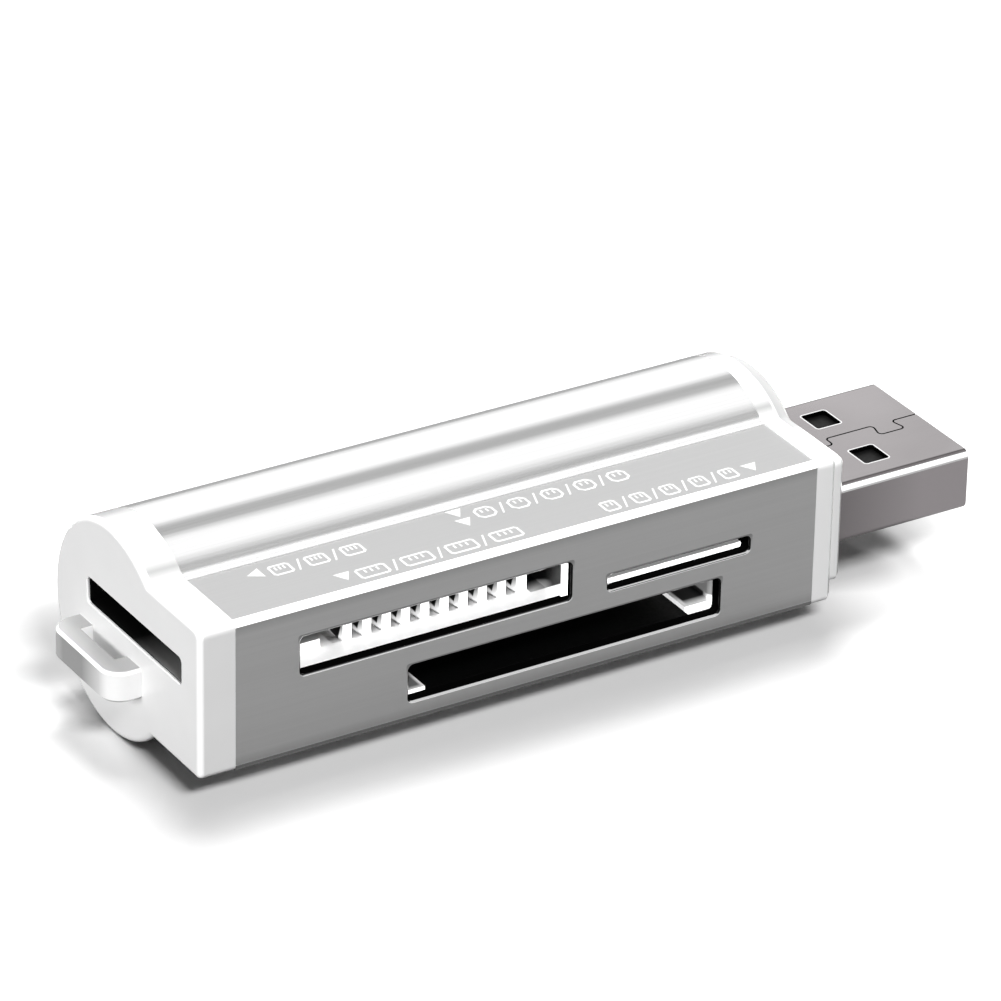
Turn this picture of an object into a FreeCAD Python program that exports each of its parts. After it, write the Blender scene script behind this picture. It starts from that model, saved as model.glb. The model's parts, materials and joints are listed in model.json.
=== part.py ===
import FreeCAD, Part
import math
import os

# USB memory card reader with four card mouths. Millimetres.
# X runs along the body towards the plug, the long mouths face -Y, Z is up.
# The origin is under the middle of the whole reader, level with its lowest line.

# Body section
sleeve_length = 45.0
block_height = 11.1
barrel_radius = 7.7
barrel_setback = 12.1
barrel_drop = 0.17
sleeve_wall = 0.9
shelf_blend = 0.2
edge_bevel = 0.42
base_bevel = 0.2
bore_corner = 0.2

# Printed field on the shelf, a shallow recess of the extrusion
field_margin = 0.45
field_depth = 0.12
field_width = 6.05

# Rails in the barrel that hold the back edge of the board
rail_reach = 0.8
rail_thickness = 0.6

# Moulded caps
rear_cap_thickness = 2.7
flange_thickness = 1.7
cap_corner = 0.7
cap_base_corner = 0.45
cap_rim = 0.4
flange_rim = 0.4
spigot_length = 3.0
spigot_wall = 0.9
fit_clearance = 0.1
collar_length = 0.9
collar_inset = 0.45
collar_lift = 1.15
collar_rim = 0.3

# Key ring lug
lug_width = 8.7
lug_reach = 2.35
lug_thickness = 2.3
lug_drop = 2.1
lug_corner = 1.5
lug_hole_width = 4.8
lug_bar = 1.4
lug_edge = 0.22

# Card mouths: distance from the sleeve's rear end, size and height over the block's underside
mouth_corner = 0.45
mouth_bevel = 0.12
stick_mouth_start = 4.75
stick_mouth_width = 20.9
stick_mouth_height = 3.05
stick_mouth_sill = 5.68
wide_mouth_start = 12.95
wide_mouth_width = 24.6
wide_mouth_height = 2.96
wide_mouth_sill = 1.34
micro_mouth_start = 28.33
micro_mouth_width = 11.5
micro_mouth_height = 1.41
micro_mouth_sill = 5.52
end_mouth_front = 2.39
end_mouth_width = 12.85
end_mouth_height = 1.96
end_mouth_sill = 6.0
end_mouth_corner = 0.35
end_mouth_bevel = 0.08
end_mouth_lip = 0.2

# Plug, with the standard section
plug_width = 12.0
plug_height = 4.5
plug_reach = 11.0
plug_setback = 7.4
plug_sheet = 0.3
plug_corner = 0.55
window_length = 2.0
window_width = 2.2
window_corner = 0.2
window_from_tip = 5.25
window_spacing = 5.9
seam_width = 0.13
seam_depth = 0.12
seam_offset = 0.4
dovetail_depth = 1.35
dovetail_neck = 1.5
dovetail_flare = 0.35
dovetail_corner = 0.3
dovetail_from_tip = 2.9
hook_length = 3.4
hook_depth = 1.0
tongue_thickness = 2.05
tongue_setback = 0.5
insulator_block = 6.0
insulator_clearance = 0.05
pin_count = 4
pin_thickness = 0.25
pin_width = 1.0
pin_inner_offset = 1.0
pin_outer_offset = 3.5
pin_inner_setback = 2.6
pin_outer_setback = 1.6
pin_tail = 1.4
tab_length = 1.1
tab_width = 0.9

# Board and what it carries
board_thickness = 0.8
board_drop = 0.1
board_arm_gap = 0.3
seat_gap = 0.07
chip_length = 9.9
chip_width = 5.3
chip_height = 1.7
chip_standoff = 0.1
chip_from_rear = 1.4
lead_count = 14
lead_pitch = 0.65
lead_width = 0.3
lead_reach = 1.2
lead_thickness = 0.2
crystal_length = 5.0
crystal_width = 3.2
crystal_height = 1.2
crystal_corner = 0.6
crystal_gap = 0.6
capacitor_length = 1.6
capacitor_width = 0.8
capacitor_height = 0.8
capacitor_pitch = 2.6
capacitor_count = 5
resistor_length = 1.0
resistor_width = 0.5
resistor_height = 0.35
resistor_pitch = 1.7
resistor_count = 6
terminal_share = 0.25
chip_row_gap = 0.3
terminal_skin = 0.04

# Sockets
socket_wall = 0.6
cover_sheet = 0.2
cover_setback = 1.2
stick_card_width = 20.05
stick_side_gap = 0.7
stick_nose_setback = 0.35
stick_nose_sill = 0.35
stick_nose_drop = 0.25
stick_depth = 15.4
stick_bar_start = 2.73
stick_bar_depth = 2.6
stick_bar_height = 1.1
stick_block_width = 2.95
stick_block_height = 0.6
stick_pitch = 1.481
stick_count = 10
stick_slot = 0.82
stick_first_slot = 4.28
stick_end_tooth = 0.8
wide_card_width = 24.05
wide_depth = 14.7
wide_rear_ledge = 1.65
wide_rear_ledge_height = 0.28
wide_rear_skin = 0.25
wide_plug_ledge = 2.0
wide_plug_ledge_height = 0.65
wide_plug_skin = 0.65
wide_plug_lead = 0.45
wide_ledge_bevel = 0.3
wide_bar_depth = 3.4
wide_pitch = 2.5
wide_count = 9
micro_card_width = 11.1
micro_depth = 14.0
micro_floor = 0.55
micro_card_room = 0.85
micro_pitch = 1.1
micro_count = 8
micro_bar_start = 8.5
end_wall = 0.3
end_pitch = 1.05
end_count = 11
contact_width = 0.5
contact_thickness = 0.15
contact_foot = 1.0
contact_ramp = 1.1
contact_rise = 0.32
contact_crest = 0.35
contact_tip_drop = 0.15
contact_groove = 0.2
contact_side_gap = 0.08

# Places worked out from the sizes above
body_length = rear_cap_thickness + sleeve_length + flange_thickness + collar_length
total_length = lug_reach + body_length + plug_reach
total_width = barrel_setback + barrel_radius
rear_face_x = lug_reach - total_length / 2
sleeve_rear_x = rear_face_x + rear_cap_thickness
sleeve_end_x = sleeve_rear_x + sleeve_length
flange_face_x = sleeve_end_x + flange_thickness
collar_face_x = flange_face_x + collar_length
plug_tip_x = collar_face_x + plug_reach
front_y = -total_width / 2
axis_y = front_y + barrel_setback
axis_z = barrel_radius
mid_z = axis_z + barrel_drop
block_z = mid_z - block_height / 2
block_top_z = block_z + block_height
bore_front_y = front_y + sleeve_wall
bore_floor_z = block_z + sleeve_wall
plug_y = front_y + plug_setback
plug_z = mid_z
plug_rear_x = sleeve_end_x - spigot_length + fit_clearance
board_top_z = mid_z - board_drop
board_z = board_top_z - board_thickness
board_front_y = bore_front_y + seat_gap
bore_radius = barrel_radius - sleeve_wall
board_back_y = axis_y + math.sqrt(bore_radius ** 2 - (axis_z - board_z) ** 2) - fit_clearance


def vec(x, y, z):
    return FreeCAD.Vector(x, y, z)


def block(x0, x1, y0, y1, z0, z1):
    """Rectangular solid between two corners."""
    return Part.makeBox(x1 - x0, y1 - y0, z1 - z0, vec(x0, y0, z0))


def join(solids):
    """One solid out of pieces that touch or overlap."""
    whole = solids[0]
    for solid in solids[1:]:
        whole = whole.fuse(solid)
    return whole.removeSplitter()


def body_outline(x, front_in, top_in, bottom_in, barrel_in, corner, base_corner, bevelled):
    """Section of the body at x: a block whose back swells into a round barrel."""
    y0 = front_y + front_in
    z0 = block_z + bottom_in
    z1 = block_top_z - top_in
    radius = barrel_radius - barrel_in
    blend = shelf_blend + barrel_in
    cut = corner * (1 - math.sqrt(0.5))
    base_cut = base_corner * (1 - math.sqrt(0.5))

    def blend_points(shelf_z, side):
        centre_z = shelf_z + side * blend
        rise = centre_z - axis_z
        centre_y = axis_y - math.sqrt((radius + blend) ** 2 - rise ** 2)
        lean_y = (centre_y - axis_y) / (radius + blend)
        lean_z = rise / (radius + blend)
        on_shelf = vec(x, centre_y, shelf_z)
        on_barrel = vec(x, axis_y + radius * lean_y, axis_z + radius * lean_z)
        half = (on_shelf + on_barrel) * 0.5 - vec(x, centre_y, centre_z)
        half.normalize()
        middle = vec(x, centre_y, centre_z) + half * blend
        return on_shelf, middle, on_barrel

    top_shelf, top_middle, top_barrel = blend_points(z1, 1)
    low_shelf, low_middle, low_barrel = blend_points(z0, -1)
    a = vec(x, y0 + base_corner, z0)
    b = vec(x, y0, z0 + base_corner)
    c = vec(x, y0, z1 - corner)
    d = vec(x, y0 + corner, z1)
    if bevelled:
        low_corner = Part.LineSegment(a, b)
        top_corner = Part.LineSegment(c, d)
    else:
        low_corner = Part.Arc(a, vec(x, y0 + base_cut, z0 + base_cut), b)
        top_corner = Part.Arc(c, vec(x, y0 + cut, z1 - cut), d)
    curves = [
        low_corner,
        Part.LineSegment(b, c),
        top_corner,
        Part.LineSegment(d, top_shelf),
        Part.Arc(top_shelf, top_middle, top_barrel),
        Part.Arc(top_barrel, vec(x, axis_y + radius, axis_z), low_barrel),
        Part.Arc(low_barrel, low_middle, low_shelf),
        Part.LineSegment(low_shelf, a),
    ]
    return Part.Wire([curve.toShape() for curve in curves])


def body_prism(x0, x1, inset, corner, base_corner, bevelled=False):
    """Body section with the same inset all round, from x0 to x1."""
    wire = body_outline(x0, inset, inset, inset, inset, corner, base_corner, bevelled)
    return Part.Face(wire).extrude(vec(x1 - x0, 0, 0))


def rounded_path(points, radii, closed):
    """Wire through the points, with each corner rounded to its own radius."""
    count = len(points)
    legs = []
    for i, point in enumerate(points):
        at_end = not closed and i in (0, count - 1)
        if at_end or radii[i] == 0:
            legs.append((point, None, point))
            continue
        back = points[i - 1] - point
        ahead = points[(i + 1) % count] - point
        back.normalize()
        ahead.normalize()
        half = back.getAngle(ahead) / 2
        reach = radii[i] / math.tan(half)
        inward = back + ahead
        inward.normalize()
        middle = point + inward * (radii[i] / math.sin(half) - radii[i])
        legs.append((point + back * reach, middle, point + ahead * reach))
    edges = []
    for i in range(count):
        first, middle, last = legs[i]
        if middle is not None:
            edges.append(Part.Arc(first, middle, last).toShape())
        if closed or i < count - 1:
            following = legs[(i + 1) % count][0]
            if last.distanceToPoint(following) > 1e-7:
                edges.append(Part.LineSegment(last, following).toShape())
    return Part.Wire(edges)


def rounded_wire(centre, width, height, radius, facing):
    """Rectangle with round corners. facing is the axis that it looks along, X, Y or Z."""
    across = {"X": vec(0, 1, 0), "Y": vec(1, 0, 0), "Z": vec(1, 0, 0)}[facing] * (width / 2)
    upward = {"X": vec(0, 0, 1), "Y": vec(0, 0, 1), "Z": vec(0, 1, 0)}[facing] * (height / 2)
    corners = []
    for side, rise in ((1, 1), (-1, 1), (-1, -1), (1, -1)):
        corners.append(centre + across * side + upward * rise)
    return rounded_path(corners, [radius] * 4, True)


def rounded_bar(centre, width, height, radius, facing, length):
    """Rounded rectangle drawn out along its facing axis by length."""
    way = {"X": vec(length, 0, 0), "Y": vec(0, length, 0), "Z": vec(0, 0, length)}[facing]
    return Part.Face(rounded_wire(centre, width, height, radius, facing)).extrude(way)


def bevelled_mouth(centre, width, height, corner, bevel, facing, depth):
    """Cutter for a mouth with a bevelled rim. centre is on the outer face."""
    step = {"X": vec(1, 0, 0), "Y": vec(0, 1, 0)}[facing]
    inner_w = width - 2 * bevel
    inner_h = height - 2 * bevel
    outer = rounded_wire(centre, width, height, corner, facing)
    inner = rounded_wire(centre + step * bevel, inner_w, inner_h, corner - bevel, facing)
    rim = Part.makeLoft([outer, inner], True, True)
    return rim.fuse(Part.Face(inner).extrude(step * depth))


def mouth_centre(start, width, sill, height):
    """Middle of a front mouth on the sleeve's front face."""
    return vec(sleeve_rear_x + start + width / 2, front_y, block_z + sill + height / 2)


def front_mouth(start, width, sill, height):
    centre = mouth_centre(start, width, sill, height)
    depth = sleeve_wall + fit_clearance
    return bevelled_mouth(centre, width, height, mouth_corner, mouth_bevel, "Y", depth)


def build_sleeve():
    """Extruded sleeve with its board rails, shelf field and three front mouths."""
    outer = body_prism(sleeve_rear_x, sleeve_end_x, 0, edge_bevel, base_bevel, True)
    bore = body_prism(sleeve_rear_x, sleeve_end_x, sleeve_wall, bore_corner, bore_corner)
    rail_y0 = board_back_y - rail_reach
    rail_y1 = axis_y + barrel_radius
    rails = []
    for low, high in (
        (board_top_z + fit_clearance, board_top_z + fit_clearance + rail_thickness),
        (board_z - fit_clearance - rail_thickness, board_z - fit_clearance),
    ):
        rails.append(block(sleeve_rear_x, sleeve_end_x, rail_y0, rail_y1, low, high))
    bore = bore.cut(rails[0]).cut(rails[1])
    sleeve = outer.cut(bore)
    field_y = front_y + field_margin
    field = block(
        sleeve_rear_x,
        sleeve_end_x,
        field_y,
        field_y + field_width,
        block_top_z - field_depth,
        block_top_z + field_depth,
    )
    sleeve = sleeve.cut(field)
    mouths = (
        (stick_mouth_start, stick_mouth_width, stick_mouth_sill, stick_mouth_height),
        (wide_mouth_start, wide_mouth_width, wide_mouth_sill, wide_mouth_height),
        (micro_mouth_start, micro_mouth_width, micro_mouth_sill, micro_mouth_height),
    )
    for start, width, sill, height in mouths:
        sleeve = sleeve.cut(front_mouth(start, width, sill, height))
    return sleeve


def spigot(x0, x1):
    """Ring that enters the sleeve, slotted for the board and its rails."""
    outer_in = sleeve_wall + fit_clearance
    ring = body_prism(x0, x1, outer_in, bore_corner, bore_corner)
    ring = ring.cut(body_prism(x0, x1, outer_in + spigot_wall, bore_corner, bore_corner))
    slot = block(
        x0, x1, front_y, axis_y + barrel_radius, board_z - fit_clearance, board_top_z + fit_clearance
    )
    rail_room = rail_thickness + 2 * fit_clearance
    rail_slot = block(
        x0,
        x1,
        board_back_y - rail_reach - fit_clearance,
        axis_y + barrel_radius,
        board_z - fit_clearance - rail_room,
        board_top_z + fit_clearance + rail_room,
    )
    return ring.cut(slot).cut(rail_slot)


def rim_edges(solid, x):
    """The edges that lie level with x."""
    return [e for e in solid.Edges if all(abs(v.Point.x - x) < 1e-6 for v in e.Vertexes)]


def build_lug():
    """Flat loop for a key ring: a D lying level on the end face."""
    z0 = mid_z - lug_drop - lug_thickness / 2
    z1 = z0 + lug_thickness
    root_x = rear_face_x + cap_rim
    tip_x = rear_face_x - lug_reach
    y0 = axis_y - lug_width / 2
    y1 = axis_y + lug_width / 2
    corners = [vec(root_x, y0, z0), vec(tip_x, y0, z0), vec(tip_x, y1, z0), vec(root_x, y1, z0)]
    outline = rounded_path(corners, [0, lug_corner, lug_corner, 0], True)
    lug = Part.Face(outline).extrude(vec(0, 0, lug_thickness))
    rim = []
    for edge in lug.Edges:
        points = [v.Point for v in edge.Vertexes]
        level = any(all(abs(p.z - z) < 1e-6 for p in points) for z in (z0, z1))
        at_root = all(abs(p.x - root_x) < 1e-6 for p in points)
        if level and not at_root:
            rim.append(edge)
    lug = lug.makeChamfer(lug_edge, rim)
    hole_y0 = axis_y - lug_hole_width / 2
    return lug.cut(block(tip_x + lug_bar, rear_face_x, hole_y0, hole_y0 + lug_hole_width, z0, z1))


def end_mouth_centre():
    y = front_y + end_mouth_front + end_mouth_width / 2
    z = block_z + end_mouth_sill + end_mouth_height / 2
    return vec(rear_face_x, y, z)


def build_rear_cap():
    """Rear cap: plate, key ring lug, spigot and the mouth for the smallest stick card."""
    plate = body_prism(rear_face_x, sleeve_rear_x, 0, cap_corner, cap_base_corner)
    plate = plate.makeFillet(cap_rim, rim_edges(plate, rear_face_x))
    cap = join([plate, spigot(sleeve_rear_x, sleeve_rear_x + spigot_length), build_lug()])
    centre = end_mouth_centre()
    mouth = bevelled_mouth(
        centre,
        end_mouth_width + 2 * end_mouth_bevel,
        end_mouth_height + 2 * end_mouth_bevel,
        end_mouth_corner + end_mouth_bevel,
        end_mouth_bevel,
        "X",
        rear_cap_thickness,
    )
    pocket = rounded_bar(
        centre + vec(end_mouth_lip, 0, 0),
        end_mouth_width + 2 * (end_wall + fit_clearance),
        end_mouth_height + 2 * (end_wall + fit_clearance),
        end_mouth_corner - fit_clearance,
        "X",
        rear_cap_thickness - end_mouth_lip,
    )
    return cap.cut(mouth).cut(pocket)


def plug_bar(x0, x1, grow, radius):
    """Bar with the plug's section, grown all round by grow."""
    centre = vec(x0, plug_y, plug_z)
    return rounded_bar(centre, plug_width + 2 * grow, plug_height + 2 * grow, radius, "X", x1 - x0)


def build_plug_cap():
    """Front cap: flange, collar for the cover, spigot and the plug's opening."""
    plate = body_prism(sleeve_end_x, flange_face_x, 0, cap_corner, cap_base_corner)
    plate = plate.makeChamfer(flange_rim, rim_edges(plate, flange_face_x))
    inset = collar_inset
    root_x = flange_face_x - flange_rim
    wire = body_outline(
        root_x, inset, inset, collar_lift, inset, cap_corner, cap_base_corner, False
    )
    collar = Part.Face(wire).extrude(vec(collar_length + flange_rim, 0, 0))
    collar = collar.makeChamfer(collar_rim, rim_edges(collar, collar_face_x))
    cap = join([plate, collar, spigot(sleeve_end_x - spigot_length, sleeve_end_x)])
    opening = plug_bar(sleeve_end_x - spigot_length, collar_face_x, fit_clearance / 2, plug_corner)
    return cap.cut(opening)


def seam_ribbon():
    """Thin upright ribbon along the sheet's joint: straight, a dovetail, straight and a hook."""
    y0 = plug_y + seam_offset
    y1 = y0 - dovetail_depth
    z = plug_z + plug_height / 2 - seam_depth
    middle_x = plug_tip_x - dovetail_from_tip
    neck = dovetail_neck / 2
    head = neck + dovetail_flare
    hook_x = collar_face_x + hook_length
    points = [
        vec(plug_tip_x + seam_width, y0, z),
        vec(middle_x + neck, y0, z),
        vec(middle_x + head, y1, z),
        vec(middle_x - head, y1, z),
        vec(middle_x - neck, y0, z),
        vec(hook_x, y0, z),
        vec(hook_x, y0 - hook_depth, z),
        vec(collar_face_x - fit_clearance, y0 - hook_depth, z),
    ]
    line = rounded_path(points, [dovetail_corner] * len(points), False)
    ribbon = line.makeOffset2D(seam_width / 2, 0, False, False, False)
    return Part.Face(ribbon).extrude(vec(0, 0, 2 * seam_depth))


def build_plug_shell():
    """Folded steel shell with four latch windows, the joint and two solder tabs."""
    shell = plug_bar(plug_rear_x, plug_tip_x, 0, plug_corner)
    inner = plug_bar(plug_rear_x, plug_tip_x, -plug_sheet, plug_corner - plug_sheet)
    shell = shell.cut(inner)
    window_x = plug_tip_x - window_from_tip - window_length / 2
    for side in (-1, 1):
        centre = vec(window_x, plug_y + side * window_spacing / 2, plug_z - plug_height)
        window = rounded_bar(centre, window_length, window_width, window_corner, "Z", 2 * plug_height)
        shell = shell.cut(window)
    shell = shell.cut(seam_ribbon())
    tabs = []
    for side in (-1, 1):
        outer = plug_y + side * plug_width / 2
        inside = outer - side * tab_width
        tab = block(
            plug_rear_x - tab_length,
            plug_rear_x + tab_length,
            min(outer, inside),
            max(outer, inside),
            board_top_z,
            board_top_z + plug_sheet,
        )
        tabs.append(tab.cut(inner))
    return join([shell] + tabs)


def pin_y(index):
    offsets = (-pin_outer_offset, -pin_inner_offset, pin_inner_offset, pin_outer_offset)
    return plug_y + offsets[index]


def pin_front_x(index):
    setback = pin_outer_setback if index in (0, pin_count - 1) else pin_inner_setback
    return plug_tip_x - setback


def build_plug_insulator():
    """Insulator: a block that fills the rear of the shell, and a tongue with the contacts below it."""
    inner_in = plug_sheet + insulator_clearance
    body = plug_bar(
        plug_rear_x, plug_tip_x - tongue_setback, -inner_in, plug_corner - plug_sheet
    )
    tongue_z = plug_z + plug_height / 2 - plug_sheet - tongue_thickness
    cavity = block(
        plug_rear_x + insulator_block,
        plug_tip_x,
        plug_y - plug_width,
        plug_y + plug_width,
        plug_z - plug_height,
        tongue_z,
    )
    body = body.cut(cavity)
    for index in range(pin_count):
        y = pin_y(index)
        groove = block(
            plug_rear_x,
            pin_front_x(index) + contact_side_gap,
            y - pin_width / 2 - contact_side_gap,
            y + pin_width / 2 + contact_side_gap,
            tongue_z,
            tongue_z + pin_thickness + contact_side_gap,
        )
        body = body.cut(groove)
    return body


def build_plug_contact(index):
    """Flat contact from its solder tail on the board to the tongue's tip."""
    y = pin_y(index)
    return block(
        plug_rear_x - pin_tail,
        pin_front_x(index),
        y - pin_width / 2,
        y + pin_width / 2,
        board_top_z,
        board_top_z + pin_thickness,
    )


board_rear_x = sleeve_rear_x + fit_clearance
board_mid_x = plug_rear_x - fit_clearance
board_end_x = sleeve_end_x - fit_clearance
arm_front_y = plug_y + plug_width / 2 + board_arm_gap


def build_circuit_board():
    """Board between the caps, notched for the plug, with an arm in the front cap's slot."""
    plate = block(board_rear_x, board_mid_x, board_front_y, board_back_y, board_z, board_top_z)
    arm = block(board_rear_x, board_end_x, arm_front_y, board_back_y, board_z, board_top_z)
    board = join([plate, arm])
    spigot_in = sleeve_wall + fit_clearance
    keep = body_prism(board_rear_x, board_end_x, spigot_in, bore_corner, bore_corner)
    return board.common(keep)


def spring_contact(base, way, width_axis, rise):
    """Bent spring strip. base is under the middle of its foot's start, way its direction."""
    t = contact_thickness
    crest_s = contact_foot + contact_ramp
    tip_h = rise - math.copysign(contact_tip_drop, rise)
    run = [
        (0, 0),
        (contact_foot, 0),
        (crest_s, rise),
        (crest_s + contact_crest, rise),
        (crest_s + 2 * contact_crest, tip_h),
    ]
    outline = []
    for s, h in run:
        outline.append(base + way * s + vec(0, 0, h))
    for s, h in reversed(run):
        outline.append(base + way * s + vec(0, 0, h + t))
    start = [p - width_axis * (contact_width / 2) for p in outline]
    face = Part.Face(Part.makePolygon(start + [start[0]]))
    return face.extrude(width_axis * contact_width)


stick_floor_z = block_z + stick_mouth_sill + mouth_bevel
stick_mouth_end_x = sleeve_rear_x + stick_mouth_start + stick_mouth_width
stick_mouth_top_z = block_z + stick_mouth_sill + stick_mouth_height
stick_right_x = stick_mouth_end_x - stick_side_gap
stick_left_x = stick_right_x - stick_card_width
stick_front_y = board_front_y
stick_back_y = front_y + stick_depth
stick_bar_y = front_y + stick_bar_start
stick_wall_top_z = stick_mouth_top_z - mouth_bevel


def stick_slot_x(index):
    return stick_left_x + stick_first_slot + index * stick_pitch


def build_stick_socket():
    """White socket of the stick card: tray, side walls, stop, a nose in the mouth and the comb."""
    tray = block(
        stick_left_x - socket_wall,
        stick_right_x + socket_wall,
        stick_front_y,
        stick_back_y + socket_wall,
        board_top_z,
        stick_floor_z,
    )
    left = block(
        stick_left_x - socket_wall,
        stick_left_x,
        stick_front_y,
        stick_back_y + socket_wall,
        board_top_z,
        stick_wall_top_z,
    )
    right = block(
        stick_right_x,
        stick_right_x + socket_wall,
        stick_front_y,
        stick_back_y + socket_wall,
        board_top_z,
        stick_wall_top_z,
    )
    stop = block(
        stick_left_x - socket_wall,
        stick_right_x + socket_wall,
        stick_back_y,
        stick_back_y + socket_wall,
        board_top_z,
        stick_wall_top_z,
    )
    nose = block(
        stick_right_x,
        stick_mouth_end_x - mouth_bevel - seat_gap,
        front_y + stick_nose_setback,
        stick_front_y + socket_wall,
        block_z + stick_mouth_sill + stick_nose_sill,
        stick_mouth_top_z - stick_nose_drop,
    )
    bar = block(
        stick_slot_x(0),
        stick_slot_x(stick_count - 1) + stick_slot / 2 + stick_end_tooth,
        stick_bar_y,
        stick_bar_y + stick_bar_depth,
        board_top_z,
        stick_floor_z + stick_bar_height,
    )
    low_block = block(
        stick_left_x,
        stick_left_x + stick_block_width,
        stick_bar_y,
        stick_bar_y + stick_bar_depth,
        board_top_z,
        stick_floor_z + stick_block_height,
    )
    socket = join([tray, left, right, stop, nose, bar, low_block])
    for index in range(stick_count):
        x = stick_slot_x(index)
        slot = block(
            x - stick_slot / 2,
            x + stick_slot / 2,
            stick_bar_y,
            stick_bar_y + stick_bar_depth + contact_foot,
            stick_floor_z - contact_groove,
            stick_wall_top_z,
        )
        socket = socket.cut(slot)
    return socket


def build_stick_contact(index):
    foot_y = stick_bar_y + stick_bar_depth + contact_foot
    base = vec(stick_slot_x(index), foot_y, stick_floor_z - contact_groove)
    rise = stick_bar_height + contact_groove
    return spring_contact(base, vec(0, -1, 0), vec(1, 0, 0), rise)


def socket_cover(x0, x1, y0, y1, z0, z1):
    """Pressed steel cover: a top sheet with both sides turned down outside the walls."""
    outer = block(x0 - cover_sheet, x1 + cover_sheet, y0, y1, z0, z1 + cover_sheet)
    return outer.cut(block(x0, x1, y0, y1, z0, z1))


def build_stick_cover():
    return socket_cover(
        stick_left_x - socket_wall,
        stick_right_x + socket_wall,
        stick_front_y + cover_setback,
        stick_back_y + socket_wall,
        board_top_z,
        stick_wall_top_z,
    )


wide_left_x = sleeve_rear_x + wide_mouth_start + (wide_mouth_width - wide_card_width) / 2
wide_right_x = wide_left_x + wide_card_width
wide_back_y = front_y + wide_depth
wide_floor_z = block_z + wide_mouth_sill + mouth_bevel
wide_roof_z = block_z + wide_mouth_sill + wide_mouth_height - mouth_bevel
wide_base_z = bore_floor_z + fit_clearance


def build_wide_socket():
    """Black socket of the widest card, under the board: floor, sides and contact bar."""
    x0 = wide_left_x - wide_rear_skin - socket_wall
    x1 = wide_right_x + wide_plug_skin + socket_wall
    y1 = wide_back_y + socket_wall
    floor = block(x0, x1, board_front_y, y1, wide_base_z, wide_floor_z)
    left = block(x0, x0 + socket_wall, board_front_y, y1, wide_base_z, board_z)
    right = block(x1 - socket_wall, x1, board_front_y, y1, wide_base_z, board_z)
    stop = block(x0, x1, wide_back_y, y1, wide_base_z, board_z)
    roof = block(x0, x1, wide_back_y - wide_bar_depth, y1, wide_roof_z, board_z)
    socket = join([floor, left, right, stop, roof])
    for index in range(wide_count):
        x = wide_slot_x(index)
        slot = block(
            x - contact_width / 2 - contact_side_gap,
            x + contact_width / 2 + contact_side_gap,
            wide_back_y - wide_bar_depth,
            wide_back_y,
            wide_roof_z,
            wide_roof_z + contact_thickness,
        )
        socket = socket.cut(slot)
    return socket


def wide_slot_x(index):
    middle = (wide_left_x + wide_right_x) / 2
    return middle + (index - (wide_count - 1) / 2) * wide_pitch


def build_wide_contact(index):
    base = vec(wide_slot_x(index), wide_back_y, wide_roof_z)
    return spring_contact(base, vec(0, -1, 0), vec(1, 0, 0), -contact_rise)


def build_wide_guide_rear():
    """Bright rail at the rear side of the wide mouth: a side skin and a thin ledge under the card."""
    skin_x = wide_left_x - wide_rear_skin
    skin = block(skin_x, wide_left_x, board_front_y, wide_back_y, wide_floor_z, wide_roof_z)
    ledge_x = wide_left_x + wide_rear_ledge
    ledge_z = wide_floor_z + wide_rear_ledge_height
    ledge = block(skin_x, ledge_x, board_front_y, wide_back_y, wide_floor_z, ledge_z)
    return join([skin, ledge])


def build_wide_guide_plug():
    """Bright rail at the plug side of the wide mouth: a thick side with a round lead-in and a ledge."""
    skin_x = wide_right_x + wide_plug_skin
    skin = block(wide_right_x, skin_x, board_front_y, wide_back_y, wide_floor_z, wide_roof_z)
    lead = []
    for edge in skin.Edges:
        points = [v.Point for v in edge.Vertexes]
        if all(abs(p.x - wide_right_x) < 1e-6 and abs(p.y - board_front_y) < 1e-6 for p in points):
            lead.append(edge)
    skin = skin.makeFillet(wide_plug_lead, lead)
    ledge_x = wide_right_x - wide_plug_ledge
    ledge_z = wide_floor_z + wide_plug_ledge_height
    profile = [
        vec(ledge_x + wide_ledge_bevel, board_front_y, wide_floor_z),
        vec(skin_x, board_front_y, wide_floor_z),
        vec(skin_x, board_front_y, ledge_z),
        vec(ledge_x, board_front_y, ledge_z),
        vec(ledge_x, board_front_y, wide_floor_z + wide_ledge_bevel),
    ]
    outline = Part.Face(rounded_path(profile, [0] * len(profile), True))
    ledge = outline.extrude(vec(0, wide_back_y - board_front_y, 0))
    return join([skin, ledge])


micro_left_x = sleeve_rear_x + micro_mouth_start + (micro_mouth_width - micro_card_width) / 2
micro_right_x = micro_left_x + micro_card_width
micro_floor_z = board_top_z + micro_floor
micro_top_z = micro_floor_z + micro_card_room
micro_back_y = front_y + micro_depth


def build_micro_socket():
    """White socket of the smallest front card: tray, walls and comb of contact grooves."""
    x0 = micro_left_x - socket_wall
    x1 = micro_right_x
    y1 = micro_back_y + socket_wall
    tray = block(x0, x1, board_front_y, y1, board_top_z, micro_floor_z)
    left = block(x0, micro_left_x, board_front_y, y1, board_top_z, micro_top_z)
    stop = block(x0, x1, micro_back_y, y1, board_top_z, micro_top_z)
    socket = join([tray, left, stop])
    for index in range(micro_count):
        x = micro_slot_x(index)
        groove = block(
            x - contact_width / 2 - contact_side_gap,
            x + contact_width / 2 + contact_side_gap,
            front_y + micro_bar_start,
            micro_back_y,
            micro_floor_z - contact_groove,
            micro_top_z,
        )
        socket = socket.cut(groove)
    return socket


def micro_slot_x(index):
    middle = (micro_left_x + micro_right_x) / 2
    return middle + (index - (micro_count - 1) / 2) * micro_pitch


def build_micro_contact(index):
    base = vec(micro_slot_x(index), micro_back_y, micro_floor_z - contact_groove)
    rise = contact_rise + contact_groove / 2
    return spring_contact(base, vec(0, -1, 0), vec(1, 0, 0), rise)


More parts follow.
